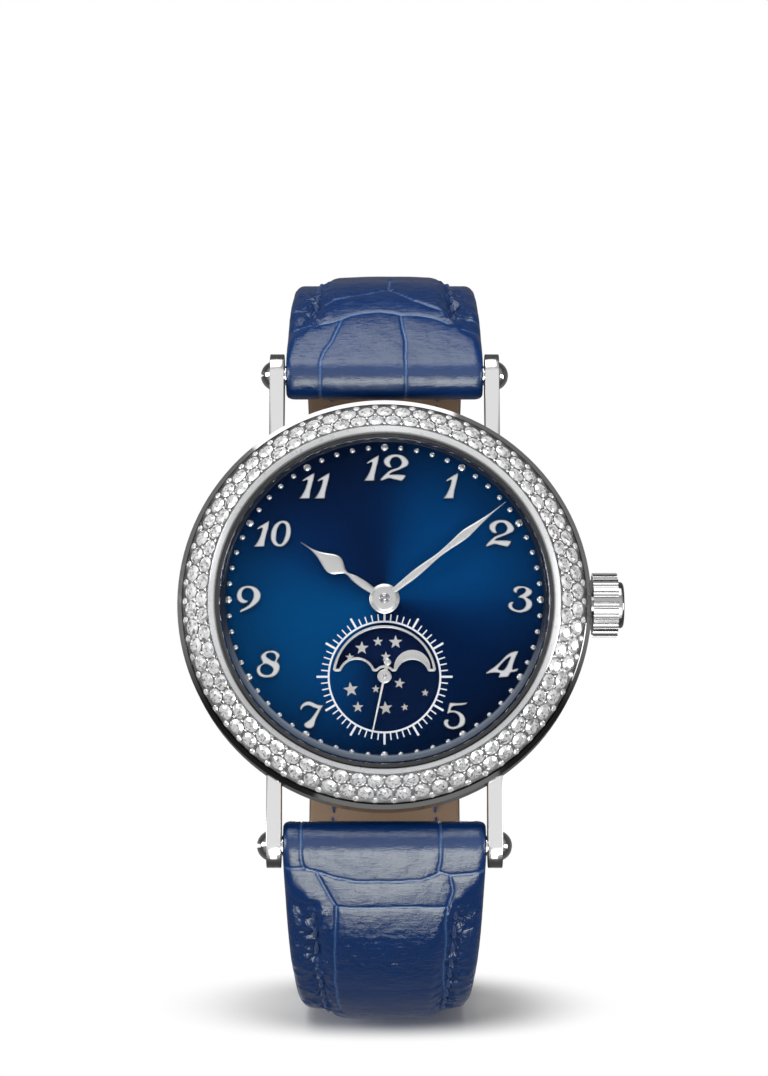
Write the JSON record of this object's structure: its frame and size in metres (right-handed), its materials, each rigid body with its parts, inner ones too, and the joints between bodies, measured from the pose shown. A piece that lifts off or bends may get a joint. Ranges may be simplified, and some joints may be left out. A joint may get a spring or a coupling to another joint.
{
  "type": "moon phase wristwatch",
  "caption": "Round moon phase wristwatch with a stone-set bezel, blue dial, small seconds, fluted crown and a buckled leather strap.",
  "frame": {"origin": "centre of the case back's outer face", "axes": "+Z out of the dial, +Y towards twelve o'clock, +X towards the crown"},
  "size_m": [0.0356, 0.0656, 0.0492],
  "materials": {
    "polished_metal": "polished white metal",
    "satin_metal": "satin silver",
    "stone": "clear cut stone",
    "clear_glass": "clear, polished",
    "dial_blue": "sunburst lacquer",
    "moon_sky": "dark lacquer",
    "strap_leather": "glossy large-scale leather",
    "strap_lining": "smooth lining",
    "seal_rubber": "matt",
    "plate_metal": "plated, striped and grained",
    "wheel_brass": "gilt",
    "wheel_steel": "polished steel",
    "ruby": "ruby"
  },
  "bodies": {
    "case": {"case_middle": "polished_metal", "case_back": "polished_metal", "back_crystal": "clear_glass", "case_back_gasket": "seal_rubber", "bezel": "polished_metal", "bezel_stones_inner": "stone", "bezel_stones_outer": "stone", "bezel_stones_edge": "stone", "bezel_beads": "polished_metal", "crystal": "clear_glass", "crystal_gasket": "seal_rubber", "flange": "polished_metal", "dial": "dial_blue", "hour_numerals": "polished_metal", "minute_dots": "polished_metal", "moon_window_rim": "polished_metal", "movement_ring": "satin_metal", "mainplate": "plate_metal", "barrel_bridge": "plate_metal", "train_bridge": "plate_metal", "balance_cock": "plate_metal", "jewels": "ruby", "bridge_screws": "wheel_steel", "crown_tube": "satin_metal", "strap_bars": "polished_metal", "strap_bar_screws": "polished_metal", "strap_twelve": "strap_leather", "strap_twelve_lining": "strap_lining", "strap_six": "strap_leather", "strap_six_lining": "strap_lining", "fixed_keeper": "strap_leather", "buckle_bar": "polished_metal"},
    "minutes": {"centre_wheel": "wheel_brass", "cannon_pinion": "wheel_steel", "minute_hand": "satin_metal"},
    "hours": {"hour_wheel": "wheel_brass", "hour_hand": "satin_metal"},
    "reduction": {"minute_wheel": "wheel_brass"},
    "moon": {"moon_disc": "moon_sky", "moons_and_stars": "satin_metal"},
    "third": {"third_wheel": "wheel_brass"},
    "seconds": {"fourth_wheel": "wheel_brass", "seconds_hand": "satin_metal"},
    "escape": {"escape_wheel": "wheel_steel"},
    "fork": {"pallet_fork": "wheel_steel"},
    "balance": {"balance_wheel": "wheel_brass", "hairspring": "wheel_steel"},
    "mainspring_barrel": {"barrel": "wheel_brass", "mainspring": "wheel_steel"},
    "ratchet": {"ratchet_wheel": "wheel_steel"},
    "crown_wheel_body": {"crown_wheel": "wheel_steel"},
    "winding": {"winding_pinion": "wheel_steel"},
    "stem_body": {"stem": "wheel_steel"},
    "crown_body": {"crown": "polished_metal", "crown_gasket": "seal_rubber"},
    "corrector": {"corrector_button": "polished_metal"},
    "buckle": {"buckle_frame": "polished_metal"},
    "tongue": {"buckle_tongue": "polished_metal"},
    "keeper": {"free_keeper": "strap_leather"}
  },
  "joints": [
    {"name": "minute_turn", "type": "hinge", "parent": "case", "child": "minutes", "pos_m": [0, 0, 0.0045], "axis": [0, 0, -1], "continuous": true},
    {"name": "hour_turn", "type": "hinge", "parent": "case", "child": "hours", "pos_m": [0, 0, 0.0055], "axis": [0, 0, -1], "continuous": true},
    {"name": "reduction_turn", "type": "hinge", "parent": "case", "child": "reduction", "pos_m": [0.0011, 0.0019, 0.0046], "axis": [0, 0, -1], "continuous": true},
    {"name": "moon_turn", "type": "hinge", "parent": "case", "child": "moon", "pos_m": [0, -0.00615, 0.005], "axis": [0, 0, -1], "continuous": true},
    {"name": "third_turn", "type": "hinge", "parent": "case", "child": "third", "pos_m": [-0.0039, -0.00359, 0.0026], "axis": [0, 0, -1], "continuous": true},
    {"name": "seconds_turn", "type": "hinge", "parent": "case", "child": "seconds", "pos_m": [0, -0.00615, 0.0035], "axis": [0, 0, -1], "continuous": true},
    {"name": "escape_turn", "type": "hinge", "parent": "case", "child": "escape", "pos_m": [0.00163, -0.00896, 0.0027], "axis": [0, 0, -1], "continuous": true},
    {"name": "barrel_turn", "type": "hinge", "parent": "case", "child": "mainspring_barrel", "pos_m": [0.00386, 0.0046, 0.0028], "axis": [0, 0, -1], "continuous": true},
    {"name": "fork_swing", "type": "hinge", "parent": "case", "child": "fork", "pos_m": [0.00372, -0.00726, 0.0027], "axis": [0, 0, -1], "range_deg": [-4, 4]},
    {"name": "balance_swing", "type": "hinge", "parent": "case", "child": "balance", "pos_m": [0.0066, -0.0049, 0.0022], "axis": [0, 0, -1], "range_deg": [-270, 270], "stiffness_Nm_per_rad": 0.00000005},
    {"name": "ratchet_turn", "type": "hinge", "parent": "case", "child": "ratchet", "pos_m": [0.00386, 0.0046, 0.0012], "axis": [0, 0, -1], "continuous": true},
    {"name": "crown_wheel_turn", "type": "hinge", "parent": "case", "child": "crown_wheel_body", "pos_m": [0.0071, 0, 0.0012], "axis": [0, 0, -1], "continuous": true},
    {"name": "winding_turn", "type": "hinge", "parent": "case", "child": "winding", "pos_m": [0.00885, 0, 0.003], "axis": [1, 0, 0], "continuous": true},
    {"name": "crown_pull", "type": "slide", "parent": "case", "child": "stem_body", "axis": [1, 0, 0], "range_m": [0, 0.0009]},
    {"name": "crown_turn", "type": "hinge", "parent": "stem_body", "child": "crown_body", "pos_m": [0.0175, 0, 0.003], "axis": [1, 0, 0], "continuous": true},
    {"name": "corrector_push", "type": "slide", "parent": "case", "child": "corrector", "axis": [0.829, 0.5592, 0], "range_m": [0, 0.0004], "stiffness_N_per_m": 300},
    {"name": "buckle_tilt", "type": "hinge", "parent": "case", "child": "buckle", "pos_m": [0, 0.001, -0.03662], "axis": [1, 0, 0], "range_deg": [-1.5, 4]},
    {"name": "tongue_lift", "type": "hinge", "parent": "buckle", "child": "tongue", "pos_m": [0, 0.001, -0.03662], "axis": [1, 0, 0], "range_deg": [0, 8]},
    {"name": "keeper_slide", "type": "slide", "parent": "case", "child": "keeper", "axis": [0, 1, 0], "range_m": [-0.0012, 0.0004]}
  ],
  "couplings": [
    {"joint": "minute_turn", "follows": "seconds_turn", "ratio": 0.016667},
    {"joint": "hour_turn", "follows": "seconds_turn", "ratio": 0.0013889},
    {"joint": "reduction_turn", "follows": "seconds_turn", "ratio": -0.0055556},
    {"joint": "moon_turn", "follows": "seconds_turn", "ratio": 0.00001177},
    {"joint": "third_turn", "follows": "seconds_turn", "ratio": -0.13333},
    {"joint": "escape_turn", "follows": "seconds_turn", "ratio": -12},
    {"joint": "barrel_turn", "follows": "seconds_turn", "ratio": -0.002381},
    {"joint": "winding_turn", "follows": "crown_turn", "ratio": 1},
    {"joint": "crown_wheel_turn", "follows": "crown_turn", "ratio": 0.42424},
    {"joint": "ratchet_turn", "follows": "crown_turn", "ratio": -0.27451}
  ]
}
